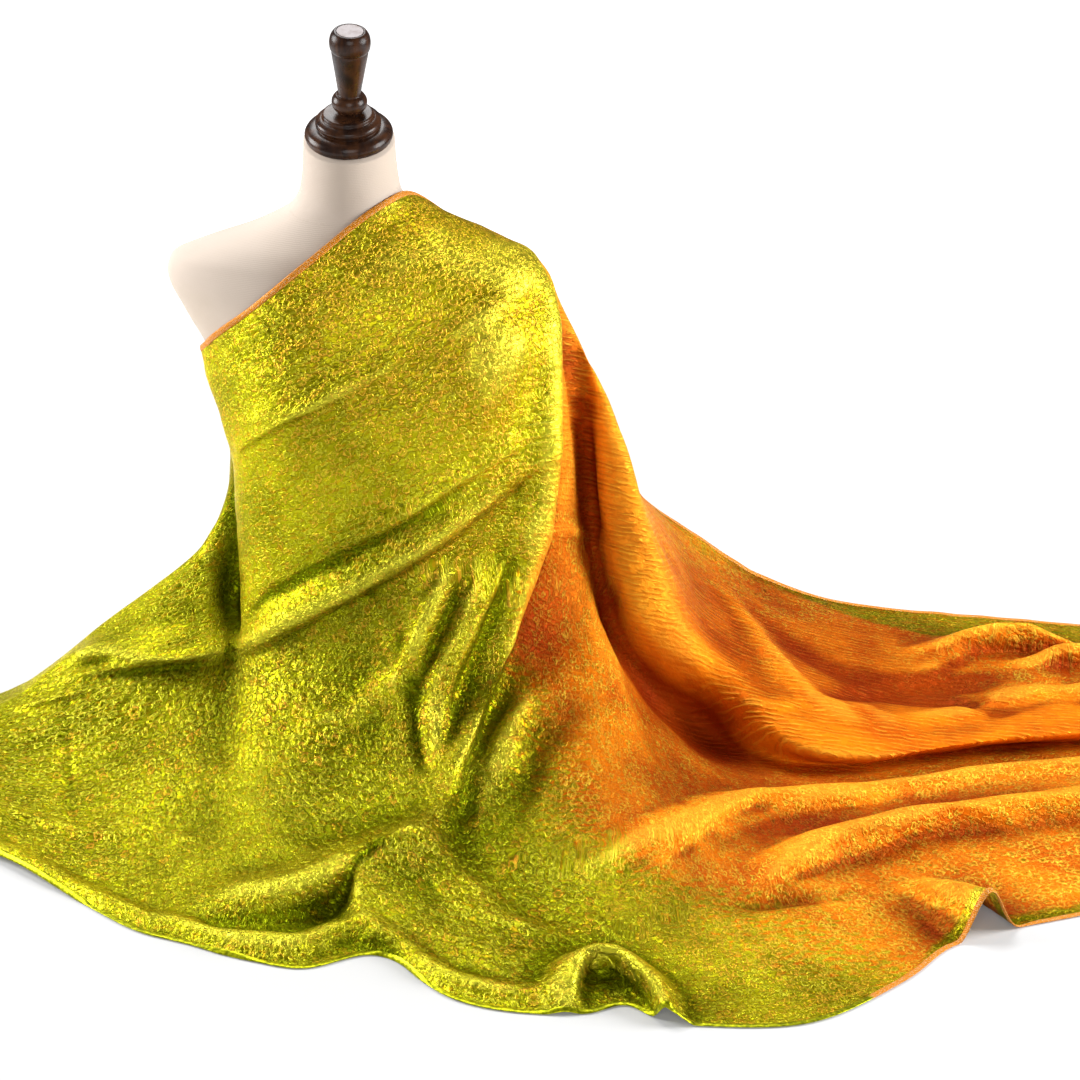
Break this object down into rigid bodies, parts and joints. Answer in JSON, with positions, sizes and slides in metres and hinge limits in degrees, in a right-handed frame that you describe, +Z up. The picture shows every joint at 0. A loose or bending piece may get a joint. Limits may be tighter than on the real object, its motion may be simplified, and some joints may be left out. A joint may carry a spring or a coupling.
{
  "type": "brocade fabric draped on a dress form",
  "caption": "Shiny brocade draped over one shoulder of a dress form bust, pleated across the waist and spread in soft folds over the surface around it.",
  "frame": {"origin": "on the surface that the bust and the cloth rest on, under the middle of the neck", "axes": "+Z up, +X to the right of someone who faces the bust, +Y away from them"},
  "size_m": [1.5147, 0.8499, 0.7718],
  "materials": {
    "brocade": "metallic jacquard that turns from lime green to orange",
    "linen": "matte linen jersey",
    "walnut": "dark walnut with gloss lacquer"
  },
  "bodies": {
    "root": {"brocade_cloth": "brocade", "bust_form": "linen", "neck_cap": "walnut", "cap_knob": "walnut"}
  },
  "joints": []
}
